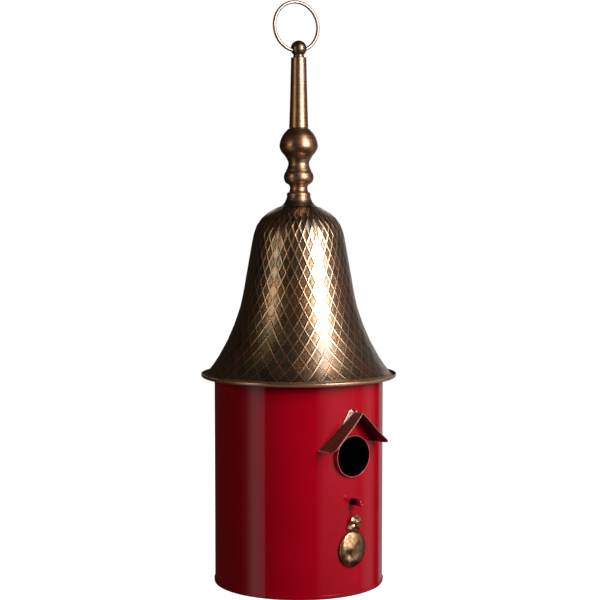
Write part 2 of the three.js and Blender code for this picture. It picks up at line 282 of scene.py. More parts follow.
# ---------- material helpers ----------
class Nodes:
    """A material with short calls to add and link its nodes."""

    def __init__(self, name):
        self.material = bpy.data.materials.new(name)
        self.material.use_nodes = True
        self.tree = self.material.node_tree
        self.shader = self.tree.nodes["Principled BSDF"]
        self.place = self.add("ShaderNodeTexCoord").outputs["Object"]

    def add(self, kind, **settings):
        node = self.tree.nodes.new(kind)
        for key, value in settings.items():
            setattr(node, key, value)
        return node

    def put(self, socket, value):
        if isinstance(value, bpy.types.NodeSocket):
            self.tree.links.new(value, socket)
        else:
            socket.default_value = value

    def feed(self, node, **inputs):
        """Puts a value or a link into each named input, with _ for a space in its name."""
        for key, value in inputs.items():
            self.put(node.inputs[key.replace("_", " ")], value)
        return node

    def stretched(self, scale):
        return self.feed(self.add("ShaderNodeMapping"), Vector=self.place, Scale=scale).outputs["Vector"]

    def noise(self, scale, detail=3.0, roughness=0.5, vector=None):
        node = self.feed(self.add("ShaderNodeTexNoise"), Vector=vector or self.place, Scale=scale)
        return self.feed(node, Detail=detail, Roughness=roughness).outputs["Fac"]

    def cells(self, scale):
        return self.feed(self.add("ShaderNodeTexVoronoi"), Vector=self.place, Scale=scale).outputs["Distance"]

    def attribute(self, name):
        return self.add("ShaderNodeAttribute", attribute_name=name).outputs["Fac"]

    def remap(self, value, low, high, to_low=0.0, to_high=1.0):
        node = self.add("ShaderNodeMapRange")
        for socket, number in zip(node.inputs, (value, low, high, to_low, to_high)):
            self.put(socket, number)
        return node.outputs["Result"]

    def plus(self, a, b):
        node = self.add("ShaderNodeMath", operation="ADD")
        self.put(node.inputs[0], a)
        self.put(node.inputs[1], b)
        return node.outputs["Value"]

    def mix(self, factor, a, b):
        node = self.add("ShaderNodeMix", data_type="RGBA")
        self.put(node.inputs["Factor"], factor)
        self.put(node.inputs[6], a)
        self.put(node.inputs[7], b)
        return node.outputs[2]

    def bump(self, height, distance_mm, strength=1.0, normal=None):
        node = self.feed(self.add("ShaderNodeBump"), Height=height, Strength=strength)
        self.feed(node, Distance=distance_mm * MM)
        if normal is not None:
            self.feed(node, Normal=normal)
        return node.outputs["Normal"]

    def surface(self, **inputs):
        self.feed(self.shader, **inputs)
        return self.material


def rgb(red, green, blue):
    return (red, green, blue, 1.0)


# ---------- materials ----------
def red_enamel():
    """Crimson stoved enamel: deep colour, faint unevenness in the gloss and in the film, near-black painted
    shade inside the house and at the perch's root, a pinkish painted highlight on the collar's lip.
    """
    n = Nodes("red_enamel")
    cloud = n.noise(18, 4, 0.6)
    colour = n.mix(n.remap(cloud, 0.35, 0.68), rgb(0.5, 0.0003, 0.01), rgb(0.56, 0.0007, 0.015))
    gloss = n.remap(n.noise(55, 4, 0.6), 0.3, 0.7, 0.08, 0.14)
    film = n.bump(n.noise(420, 2, 0.4), 0.02, 0.35)
    painted_shade = n.attribute("painted_shade")
    # Near-black painted shade, for the dark inside of the house and the perch's root.
    shade_black = n.mix(n.remap(n.noise(90, 4, 0.6), 0.3, 0.7), rgb(0.003, 0.0025, 0.0025), rgb(0.009, 0.007, 0.006))
    # Pinkish painted highlight along the entrance collar's lip.
    painted_highlight = n.mix(n.attribute("painted_highlight"), colour, rgb(0.66, 0.16, 0.18))
    return n.surface(
        Base_Color=n.mix(painted_shade, painted_highlight, shade_black),
        Roughness=n.mix(painted_shade, gloss, rgb(0.55, 0.55, 0.55)),
        Normal=film,
        Specular_IOR_Level=n.remap(painted_shade, 0, 1, 0.5, 0.15),
    )


def bell_copper():
    """Antique copper: olive-brown patina in the cells, orange where it thins, bright on the lines; near-black
    painted shade in the rim's gutter and under its lip, and a painted highlight along the rim's edge.
    """
    n = Nodes("bell_copper")
    cell = n.attribute("cell")
    # The lines' mask also carries the painted highlight along the rim.
    ridge = n.remap(n.attribute("ridge"), 0.3, 0.85)
    cloud = n.noise(34, 4, 0.65)
    patch = n.noise(110, 3, 0.6)
    grain = n.noise(800, 4, 0.7)
    patina = n.mix(n.remap(cell, 0, 1), rgb(0.25, 0.18, 0.105), rgb(0.37, 0.275, 0.17))
    thin = n.plus(n.remap(cloud, 0.4, 0.62, 0, 0.65), n.remap(patch, 0.48, 0.68, 0, 0.5))
    base = n.mix(thin, patina, rgb(0.68, 0.28, 0.1))
    specks = n.mix(n.remap(grain, 0.36, 0.6, 0.6, 0.0), base, rgb(0.1, 0.07, 0.04))
    clean = n.mix(ridge, specks, rgb(0.98, 0.51, 0.27))
    # Painted shade: near-black, dull and not mirror-like in the rim's gutter and under its lip.
    painted_rim_shade = n.attribute("painted_rim_shade")
    colour = n.mix(painted_rim_shade, clean, rgb(0.012, 0.01, 0.008))
    gloss = n.plus(n.remap(grain, 0.3, 0.7, 0.25, 0.36), n.remap(cell, 0, 1, -0.02, 0.04))
    hammer = n.bump(n.cells(420), 0.08, 0.3)
    tooth = n.bump(grain, 0.035, 0.5, hammer)
    return n.surface(
        Base_Color=colour,
        Metallic=n.remap(painted_rim_shade, 0, 1, 1, 0),
        Roughness=n.mix(painted_rim_shade, gloss, rgb(0.6, 0.6, 0.6)),
        Normal=tooth,
        Specular_IOR_Level=0.2,
        Coat_Weight=n.remap(painted_rim_shade, 0, 1, 1, 0),
        Coat_Roughness=0.2,
        Coat_IOR=1.72,
    )


def turned_copper(name, dark, light, gloss_low, gloss_high):
    """Browned copper with fine lathe lines round the Z axis, and olive patina where it's marked."""
    n = Nodes(name)
    lines = n.noise(1.0, 2, 0.6, n.stretched((9, 9, 620)))
    cloud = n.noise(60, 4, 0.65)
    tone = n.plus(n.remap(lines, 0.3, 0.7, 0, 0.5), n.remap(cloud, 0.3, 0.7, 0, 0.5))
    copper = n.mix(tone, rgb(*dark), rgb(*light))
    colour = n.mix(n.attribute("patina"), copper, rgb(0.24, 0.17, 0.105))
    gloss = n.remap(lines, 0.3, 0.7, gloss_low, gloss_high)
    grooves = n.bump(lines, 0.02, 0.25)
    return n.surface(Base_Color=colour, Metallic=1.0, Roughness=gloss, Normal=grooves)


def ring_copper():
    """Polished pale copper wire with faint drawing marks."""
    n = Nodes("ring_copper")
    cloud = n.noise(140, 3, 0.6)
    colour = n.mix(n.remap(cloud, 0.3, 0.7), rgb(0.5, 0.31, 0.23), rgb(0.64, 0.42, 0.33))
    gloss = n.remap(cloud, 0.3, 0.7, 0.3, 0.4)
    return n.surface(Base_Color=colour, Metallic=1.0, Roughness=gloss, Normal=n.bump(cloud, 0.01, 0.1))


def canopy_copper():
    """Browned copper sheet, mottled by heat, with a pale painted highlight along its cut edges; the rivet
    heads go halfway to that pale colour.
    """
    n = Nodes("canopy_copper")
    cloud = n.noise(70, 5, 0.65)
    fine = n.noise(500, 3, 0.6)
    base = n.mix(n.remap(cloud, 0.32, 0.68), rgb(0.085, 0.05, 0.026), rgb(0.22, 0.13, 0.075))
    spotted = n.mix(n.remap(fine, 0.5, 0.66, 0, 0.6), base, rgb(0.07, 0.04, 0.028))
    # Painted highlight along the marked edges.
    colour = n.mix(n.attribute("edge"), spotted, rgb(0.86, 0.5, 0.4))
    gloss = n.remap(cloud, 0.3, 0.7, 0.34, 0.5)
    tarnish = n.remap(cloud, 0.3, 0.7, 0.45, 0.85)
    return n.surface(Base_Color=colour, Metallic=tarnish, Roughness=gloss, Normal=n.bump(fine, 0.06, 0.5))


def hammered_bronze(name, dark, light):
    """Golden bronze, darkened by painted shade where it's marked."""
    n = Nodes(name)
    cloud = n.noise(240, 4, 0.65)
    fine = n.noise(900, 3, 0.6)
    base = n.mix(n.remap(cloud, 0.36, 0.64), rgb(*dark), rgb(*light))
    spotted = n.mix(n.remap(fine, 0.54, 0.7, 0, 0.35), base, rgb(0.36, 0.18, 0.06))
    colour = n.mix(n.attribute("painted_cover_shade"), spotted, rgb(0.17, 0.105, 0.045))
    gloss = n.remap(cloud, 0.3, 0.7, 0.3, 0.42)
    return n.surface(Base_Color=colour, Metallic=1.0, Roughness=gloss, Normal=n.bump(fine, 0.05, 0.4))


def zinc_steel():
    """Zinc-plated steel with a faint crystalline mottle."""
    n = Nodes("zinc_steel")
    crystal = n.cells(220)
    fine = n.noise(700, 3, 0.6)
    colour = n.mix(n.remap(crystal, 0.1, 0.6), rgb(0.5, 0.52, 0.54), rgb(0.66, 0.67, 0.68))
    gloss = n.remap(fine, 0.3, 0.7, 0.32, 0.46)
    return n.surface(Base_Color=colour, Metallic=1.0, Roughness=gloss, Normal=n.bump(fine, 0.03, 0.4))


RED = red_enamel()
BELL = bell_copper()
TURNED = turned_copper("turned_copper", (0.36, 0.165, 0.085), (0.7, 0.385, 0.225), 0.3, 0.42)
BALL = turned_copper("ball_bronze", (0.24, 0.155, 0.105), (0.4, 0.27, 0.19), 0.3, 0.4)
RING = ring_copper()
CANOPY = canopy_copper()
BRONZE = hammered_bronze("hammered_bronze", (0.5, 0.2, 0.075), (1.0, 0.67, 0.39))
LEAF = hammered_bronze("rose_bronze", (0.5, 0.23, 0.09), (0.9, 0.54, 0.33))
ZINC = zinc_steel()


# ---------- body tube ----------
def body_tube():
    """The sheet cylinder with its lock seam at the back and its openings at the front."""
    segments, rounding = 360, 0.35
    seam_edge, seam_height, seam_slope, seam_runout = 3.8, 0.55, 0.8, 4
    bottom, top = tube_low[2], tube_high[2]
    start = [TUBE_IN, (top + bottom) / 2]
    corners = [[TUBE_IN, bottom], [TUBE_R, bottom], [TUBE_R, top], [TUBE_IN, top]]
    verts, faces = lathe_data(fillet([start, *corners, start], rounding)[:-1], segments)
    for v in verts:
        r = math.hypot(v[0], v[1])
        if r > TUBE_R - SHEET / 2 and v[1] > 0:
            rise = seam_height * clamp((seam_edge - abs(v[0])) / seam_slope)
            rise *= clamp((v[2] - bottom) / seam_runout)
            v[0] *= (r + rise) / r
            v[1] *= (r + rise) / r
    tube = make("body_shell", verts, faces)

    def cutter(radius, x, z):
        inner, outer = 60, 95
        profile = [[0, inner], [radius, inner], [radius, outer], [0, outer]]
        return place(lathe("cutter", profile), front(x, z))

    openings = [cutter(COLLAR_OUT + GAP, 0, HOLE_Z), cutter(PORT_R, 0, PORT_Z)]
    rivet_hole = cutter(COVER_SHANK + GAP, PIVOT[0], PIVOT[2])
    boolean(tube, [*openings, cutter(PERCH_SHANK + GAP, 0, PERCH_Z), rivet_hole])
    # The cuts leave long faces, so the round wall gets its true normals, except at the seam.
    mesh = tube.data
    nearly_radial, seam_zone = 0.995, 5.5 * MM
    normals = []
    for polygon in mesh.polygons:
        polygon.use_smooth = True
        for loop in polygon.loop_indices:
            at = mesh.vertices[mesh.loops[loop].vertex_index].co
            radial = Vector((at.x, at.y, 0)).normalized()
            facing = polygon.normal.dot(radial)
            if abs(facing) > nearly_radial and not (at.y > 0 and abs(at.x) < seam_zone):
                normals.append(radial if facing > 0 else -radial)
            else:
                normals.append(polygon.normal)
    mesh.normals_split_custom_set([tuple(n) for n in normals])
    # Painted shade: the inner face of the wall is near-black, as the inside of the house is dark.
    float_attribute(tube, "painted_shade", [float(r < TUBE_R - 0.6 * SHEET) for r in radii(tube)])
    finish_piece(tube, "house", RED, "body_tube")


def base_pan():
    """The flat pan with its upstand inside the tube and its rolled bead outside."""
    slot_out, slot_in = TUBE_R + GAP, TUBE_IN - GAP
    lip, seat, rounding = 3.6, 1.2, 0.45
    bead = [[0, 0], [BEAD_R - 0.2, 0], [BEAD_R, seat], [BEAD_R, lip], [slot_out, lip], [slot_out, seat]]
    upstand = [[slot_in, seat], [slot_in, PAN_Z], [slot_in - SHEET, PAN_Z], [slot_in - SHEET, SHEET]]
    pan = lathe("base_pan_shell", fillet([*bead, *upstand, [0, SHEET]], rounding), 240)
    drain_r, drain_at = 2.5, 50
    drains = []
    for degrees in (45, 135, 225, 315):
        drain = lathe("cutter", [[0, -3], [drain_r, -3], [drain_r, 4], [0, 4]], 32)
        a = math.radians(degrees)
        drains.append(place(drain, Matrix.Translation((drain_at * math.cos(a), drain_at * math.sin(a), 0))))
    boolean(pan, drains)
    # Painted shade: the pan's floor inside the house is near-black.
    inside = [v.co.z / MM > 0.9 * SHEET and r < TUBE_IN for v, r in zip(pan.data.vertices, radii(pan))]
    float_attribute(pan, "painted_shade", inside)
    finish_piece(pan, "house", RED, "base_pan")


def entrance_collar():
    """The short tube round the hole, with near-black painted shade in its bore and a painted highlight along
    its lip.
    """
    back, lip = -collar_high[1], -collar_low[1]
    inner = COLLAR_OUT - COLLAR_WALL
    start = [inner, (back + lip) / 2]
    corners = [[inner, back], [COLLAR_OUT, back], [COLLAR_OUT, lip], [inner, lip]]
    collar = lathe("entrance_ring", fillet([start, *corners, start], 0.5)[:-1], 128)
    bore, highlight_to, highlight_depth = inner + 0.05, inner + 0.6, 0.45
    # Painted shade: the bore is near-black.
    float_attribute(collar, "painted_shade", [float(r < bore) for r in radii(collar)])
    # Painted highlight: a pinkish ring on the lip's inner rounding.
    painted_highlight = []
    for v, r in zip(collar.data.vertices, radii(collar)):
        painted_highlight.append(0.8 if v.co.z / MM > lip - highlight_depth and bore < r < highlight_to else 0.0)
    float_attribute(collar, "painted_highlight", painted_highlight)
    place(collar, front(0, HOLE_Z))
    finish_piece(collar, "house", RED, "entrance_collar")


# ---------- canopy ----------
def sheet_solid(name, rows, offsets, highlight_at):
    """A closed sheet from a grid of points and the offset of its other side at each point."""
    count_u, count_v = len(rows), len(rows[0])
    verts = [p for row in rows for p in row]
    under = [[a + b for a, b in zip(p, q)] for p, q in zip(verts, (o for row in offsets for o in row))]
    shift = len(verts)
    faces = []
    for i in range(count_u - 1):
        for j in range(count_v - 1):
            a, b = i * count_v + j, (i + 1) * count_v + j
            faces.append([a, b, b + 1, a + 1])
            faces.append([a + 1 + shift, b + 1 + shift, b + shift, a + shift])
    border = [i * count_v for i in range(count_u)]
    border += [(count_u - 1) * count_v + j for j in range(1, count_v)]
    border += [i * count_v + count_v - 1 for i in range(count_u - 2, -1, -1)]
    border += list(range(count_v - 2, 0, -1))
    for a, b in zip(border, border[1:] + border[:1]):
        faces.append([b, a, a + shift, b + shift])
    obj = make(name, verts + under, faces)
    # The edge mask holds the painted highlight at each point.
    fade = [highlight_at(i, j) for i in range(count_u) for j in range(count_v)]
    float_attribute(obj, "edge", fade + fade)
    return obj


def canopy_sheet():
    """The folded roof over the entrance, its back edge fitted to the wall."""
    fold = 0.8  # half the width of the rounded fold
    corner = 8.0  # radius of the front corners
    steps, across = 28, 14
    sag_depth, wave_height, edge_width = 0.25, 0.3, 0.3
    slopes = ((-1, 49.2, 45.0), (1, 46.4, 42.5))  # side, length and pitch in degrees
    path = []
    for side, length, pitch in slopes:
        a = math.radians(pitch)
        points = []
        for i in range(steps + 1):
            s = fold + (length - fold) * (i / steps) ** 0.9
            sag = sag_depth * math.sin(math.pi * s / length)
            out = (side * s * math.cos(a), -s * math.sin(a) - sag)
            points.append((out, (side * math.sin(a), math.cos(a)), length - s))
        path.append(points)
    ridge = ((0.0, -0.35), (0.0, 1.0), 40.0)
    path = [*reversed(path[0]), ridge, *path[1]]
    rows, offsets = [], []
    for (x, z), (nx, nz), left in path:
        inset = corner - math.sqrt(corner**2 - (corner - left) ** 2) if left < corner else 0.0
        back = math.sqrt((TUBE_R + GAP) ** 2 - x * x)
        row = []
        depth = CANOPY_FRONT - inset - back
        for j in range(across + 1):
            t = j / (across - 1) * (1 - edge_width / depth) if j < across else 1.0
            y = back + depth * t
            lift = wave_height * math.sin(0.21 * x + 0.5) * t**2
            row.append([x + nx * lift, -y, RIDGE_Z + z + nz * lift])
        rows.append(row)
        offsets.append([[-nx * CANOPY_SHEET, 0, -nz * CANOPY_SHEET]] * (across + 1))
    last = len(path) - 1

    # Painted highlight on the cut edges: full on the left slope, weaker on the right, as the light falls.
    def edge(i, j):
        cut = j == across or i in (0, last)
        return (1.0 if i <= last / 2 else 0.3) if cut else 0.0

    return sheet_solid("canopy_sheet", rows, offsets, edge)


def canopy_tab(side):
    """A fixing tab: folded up from the slope's back edge until it lies on the wall."""
    steps, across = 14, 5
    sheet, full_height, full_stand = 0.5, 4.0, 2.4
    up_x, up_z = 0.62, 0.9
    # Painted highlight: the left tab is bright, the right one almost dark, as the light falls.
    tab_highlight = 0.8 if side < 0 else 0.1
    rows = []
    for i in range(steps + 1):
        t = i / steps
        foot_x, foot_z = 0.4 + 11.2 * t, -0.5 - 11.3 * t
        height = full_height * (1 - t) ** 0.9 * min(1.0, 0.6 + 2.2 * t)
        stand = full_stand * (1 - t)
        row = []
        for j in range(across + 1):
            s = j / across
            x = foot_x + height * s * up_x
            z = foot_z + height * s * up_z
            out = math.sqrt((TUBE_R + sheet) ** 2 - x * x) + sheet + stand * (1 - s) ** 1.3
            row.append([side * x, -out, RIDGE_Z + z])
        rows.append(row)
    offsets = [[[0, sheet, 0]] * (across + 1)] * (steps + 1)
    return sheet_solid("canopy_tab", rows, offsets, lambda i, j: tab_highlight)


def entrance_canopy():
    """The folded sheet and its two tabs, as one piece."""
    canopy = join("canopy", [canopy_sheet(), canopy_tab(-1), canopy_tab(1)])
    finish_piece(canopy, "house", CANOPY, "entrance_canopy")


def rivet(name, node, head_r, head_from, dome, shank_r):
    """A rivet on the front wall where its CAD node is, with a flat tail inside and a domed head outside."""
    tail = TUBE_IN - 0.6
    flat = fillet([[0, tail - 1], [head_r, tail - 1], [head_r, tail]], 0.3)
    shank = [[shank_r, tail], [shank_r, head_from], [head_r, head_from]]
    head = [[r, head_from + 0.2 + z * dome / head_r] for r, z in arc(0, 0, head_r, 4, 90, 10)]
    head[-1][0] = 0
    x, _, z = centre(node)
    return place(lathe(name, [*flat, *shank, *head], 48), front(x, z))


def canopy_rivets():
    for side in ("left", "right"):
        node = f"canopy_rivet_{side}"
        pin = rivet(f"canopy_pin_{side}", node, head_r=1.3, head_from=TUBE_R + 1.4, dome=0.7, shank_r=0.7)
        float_attribute(pin, "edge", [0.5] * len(pin.data.vertices))
        finish_piece(pin, "house", CANOPY, node)


# ---------- perch ----------
def perch():
    """The peg, with a thin shank through the wall, a round tip with a dimple, and painted shade darkening its
    root.
    """
    inner, wall, rounding = 72, TUBE_R + GAP, 0.9
    root = TUBE_R + 4
    shoulder = [[0, inner], [PERCH_SHANK, inner], [PERCH_SHANK, wall], [PERCH_R, wall], [PERCH_R, root]]
    dimple = [[1.7, PERCH_TIP], [1.2, PERCH_TIP - 0.3], [0.6, PERCH_TIP - 0.5], [0, PERCH_TIP - 0.5]]
    side = [[PERCH_R, root + i] for i in range(1, 10)]
    tip = [*arc(PERCH_R - rounding, PERCH_TIP - rounding, rounding, 0, 90, 6), *fillet(dimple, 0.2)]
    peg = lathe("perch_pin", [*fillet(shoulder, 0.3), *side, *tip], 64)
    # Painted shade: the peg is near-black at the wall, fading to its red towards the tip.
    darkest, dark_to, dark_fade = 0.97, TUBE_R + 13.5, 6
    painted_shade = [min(darkest, clamp((dark_to - v.co.z / MM) / dark_fade)) for v in peg.data.vertices]
    float_attribute(peg, "painted_shade", painted_shade)
    place(peg, front(0, PERCH_Z))
    finish_piece(peg, "house", RED, "perch_peg")


# ---------- clean-out cover ----------
def hammer_marks(seed, count, spread, depth, small=2.4, large=4.6, own=()):
    """Shallow round dents, as a height at a point on a plate. Own dents are (x, y, size, weight)."""
    draw = random.Random(seed)
    marks = []
    for _ in range(count):
        a, r = draw.uniform(0, TAU), spread * math.sqrt(draw.random())
        marks.append((r * math.cos(a), r * math.sin(a), draw.uniform(small, large), draw.uniform(0.4, 1.0)))
    marks += own

    def height(x, y):
        total = 0.0
        for mx, my, size, weight in marks:
            d2 = ((x - mx) ** 2 + (y - my) ** 2) / size**2
            if d2 < 6:
                total -= depth * weight * math.exp(-1.6 * d2)
        return total

    return height


def cover_plate():
    """The oval dome, beaten from behind, with a flat at its upper left."""
    half_w, half_h, top, sheet = 15.5, 17.2, 5.0, 0.85
    boss_and_hollows = [(-6.5, -4.8, 4.6, 3.9), (5.0, 3.0, 5.5, 1.2), (1.5, -4.5, 4.0, 1.6)]
    dents = hammer_marks(7, 12, 14, 0.5, 3.4, 5.6, boss_and_hollows)
    facet_blend, edge_z = 0.35, 0.12
    rings, segments = 40, 120
    verts, faces, edges = [], [], []

    def point(t, a, inside):
        x, y = half_w * t * math.cos(a), half_h * t * math.sin(a)
        z = top * (1 - t**2.6) ** 0.62 + 0.1 + dents(x, y) * (1 - t**8)
        # What stands over a tilted plane is flattened onto it.
        over = z - (5.6 + 0.16 * x - 0.22 * y)
        z -= 0.5 * (math.hypot(over, facet_blend) + over)
        if inside:
            z = max(0.05, z - sheet) if t < 0.96 else 0.0
        return [x, y - COVER_DROP, z if inside else max(z, edge_z)]

    for inside, limit in ((False, 1.0), (True, 0.975)):
        last = [len(verts)] * segments
        verts.append(point(0, 0, inside))
        for i in range(1, rings + 1):
            t = limit * (1 - (1 - i / rings) ** 1.35)
            ring = list(range(len(verts), len(verts) + segments))
            verts += [point(t, TAU * j / segments, inside) for j in range(segments)]
            faces += band(last, ring)
            last = ring
        edges.append(last)
    faces += band(*edges)
    return make("cover_dome", verts, faces, 60)


def neck_strip():
    """The flat neck from the dome up to the rivet, with a rounded end."""
    half, foot, top = 3.2, -10.8, -2.0
    outline = [[-half - 0.2, foot], [half + 0.2, foot], [half, top]]
    outline += [*arc(0, 0, half, 0, 180, 16), [-half, top]]
    return plate_solid("cover_neck", outline, 0.85, rings=6)


def plate_solid(name, outline, thickness, rings, shape=lambda x, y: 0.0):
    """A plate from an outline about the rivet's hole, shaped by a height function, its edges rounded."""
    bore, edge_drop = 1.9, 0.18
    count = len(outline)
    verts, loops = [], []
    for level, drop in ((thickness, edge_drop), (0.0, -edge_drop)):
        for i in range(rings + 1):
            t = i / rings
            loops.append(list(range(len(verts), len(verts) + count)))
            for x, y in outline:
                a = math.atan2(y, x)
                px = bore * math.cos(a) * (1 - t) + x * t
                py = bore * math.sin(a) * (1 - t) + y * t
                verts.append([px, py, level - drop * t**10 + shape(px, py)])
    # The upper loops run outwards and the lower ones back to the hole.
    return make(name, verts, closed_bands(loops[: rings + 1] + loops[:rings:-1]), 45)


def leaf_outline():
    """One lobe up and two lobes down and out, as smooth curves through a few points."""
    half = [[0, 6.8], [3.4, 5.6], [6.0, 2.0], [7.7, -2.2], [8.4, -6.4], [5.9, -6.7], [3.4, -5.4], [0, -4.8]]
    right = smooth(half, 7)
    left = [[-x, y] for x, y in reversed(right[1:-1])]
    return right + left


def cover_leaf():
    """The leaf bowed over the neck, folded in rays from its rivet and beaten."""
    bow, stand = 14.0, 3.2
    ray_height, rays, flat_to, ray_fade = 0.5, 5, 2.2, 2.5
    dents = hammer_marks(3, 16, 8, 0.3)

    def shape(x, y):
        turn = math.atan2(x, y + 0.5)
        folds = ray_height * math.cos(rays * turn + 0.1) * clamp((math.hypot(x, y) - flat_to) / ray_fade)
        return stand - (bow - math.sqrt(bow**2 - x * x)) + dents(x, y) + folds

    return plate_solid("leaf", leaf_outline()[::-1], 0.8, rings=10, shape=shape)


def cover():
    """The cover and its leaf: painted shade to the right, painted shadow on the neck under the leaf, and
    painted shade between the leaf's lower lobes.
    """
    stand = 0.8
    to_wall = front(PIVOT[0], PIVOT[2], -COVER_TURN) @ Matrix.Translation((0, 0, TUBE_R + stand))

    # Painted shade on the plate's right side, and painted shadow on the neck under the leaf.
    def plate_shade(x, y):
        return max(0.85 * clamp((x - 1.5) / 8), 0.9 * clamp((y + 13) / 4))

    # Painted shade between the leaf's lower lobes.
    def leaf_shade(x, y):
        return 0.9 * math.exp(-(((x + 0.5) / 2.2) ** 2) - ((y + 4.5) / 3) ** 2)

    plate = join("cover_plate", [cover_plate(), neck_strip()])
    leaf = cover_leaf()
    for piece, painted_cover_shade, material, node in (
        (plate, plate_shade, BRONZE, "clean_out_cover"),
        (leaf, leaf_shade, LEAF, "cover_leaf"),
    ):
        float_attribute(piece, "painted_cover_shade", [painted_cover_shade(v.co.x / MM, v.co.y / MM) for v in piece.data.vertices])
        finish_piece(place(piece, to_wall), "cover", material, node)
    pin = rivet("cover_pin", "cover_rivet", head_r=2.6, head_from=TUBE_R + 4.5, dome=1.8, shank_r=COVER_SHANK)
    finish_piece(pin, "house", LEAF, "cover_rivet")


# ---------- bell roof ----------
LINES = 40  # raised lines in each direction
ROWS = 11  # diamonds from crown to rim
LINE_TURN = math.radians(2.6)  # of the whole pattern round the axis
LIP_Z = 202  # top of the rim's upright lip
CELL_HEIGHT = 17.7  # height of a diamond along the bell's wall
SHRINK_R = 42  # inside this radius, round the crown, the diamonds are lower
LINE_HEIGHT = 0.2
LINE_WIDTH = 0.4
FLATNESS = 0.85  # of a diamond: 1 is flat, 0 follows the bell
PLAIN_TONE = 0.4  # patina of the faces that have no diamonds
BELL_WALL = [[19, 361.2], [24.5, 358.6], [33.8, 352], [39.6, 344.2], [43, 335], [48.5, 305]]
BELL_WALL += [[54.6, 271.5], [60.7, 251.8], [68.9, 232.4], [79.3, 214], [86.2, 204.6], [90, 200.6]]


def round_bell(r, across, z):
    """A point or a direction by radius and height: across is in line spacings round the bell."""
    a = across * TAU / LINES + LINE_TURN
    return np.array([r * math.cos(a), r * math.sin(a), z])


class BellWall:
    """The bell's wall as a curve, measured in diamonds down from the crown."""

    def __init__(self):
        top = [[15.0, CROWN_Z], [17.0, CROWN_Z - 0.02]]
        fine = np.array(smooth(top + BELL_WALL, 40))
        step = np.linalg.norm(np.diff(fine, axis=0), axis=1)
        mid_r = (fine[1:, 0] + fine[:-1, 0]) / 2
        height = CELL_HEIGHT * np.minimum(1.0, mid_r / SHRINK_R)
        self.count = np.concatenate([[0], np.cumsum(step / height)])
        self.count += ROWS + 0.2 - self.count[-1]
        self.fine = fine
        tangent = np.gradient(fine, axis=0)
        tangent /= np.linalg.norm(tangent, axis=1)[:, None]
        self.normal = np.stack([-tangent[:, 1], tangent[:, 0]], 1)

    def at(self, f):
        """[r, z] and the outward normal at f diamonds down."""
        lines = (self.fine, self.normal)
        return [np.array([np.interp(f, self.count, line[:, i]) for i in (0, 1)]) for line in lines]

    def point(self, across, f):
        """A point on the bell."""
        (r, z), _ = self.at(f)
        return round_bell(r, across, z)

    def spacing(self, f):
        """Distance between neighbouring lines of one direction, in millimetres."""
        (r, _), _ = self.at(f)
        width = TAU * r / LINES
        height = CELL_HEIGHT * min(1.0, r / SHRINK_R)
        return width * height / math.hypot(width, height)


# Where a diamond's rows of points lie, from one of its lines to the next: closer beside the lines.
CELL_STEPS = [0, 0.05, 0.115, 0.24, 0.5, 0.76, 0.885, 0.95, 1]


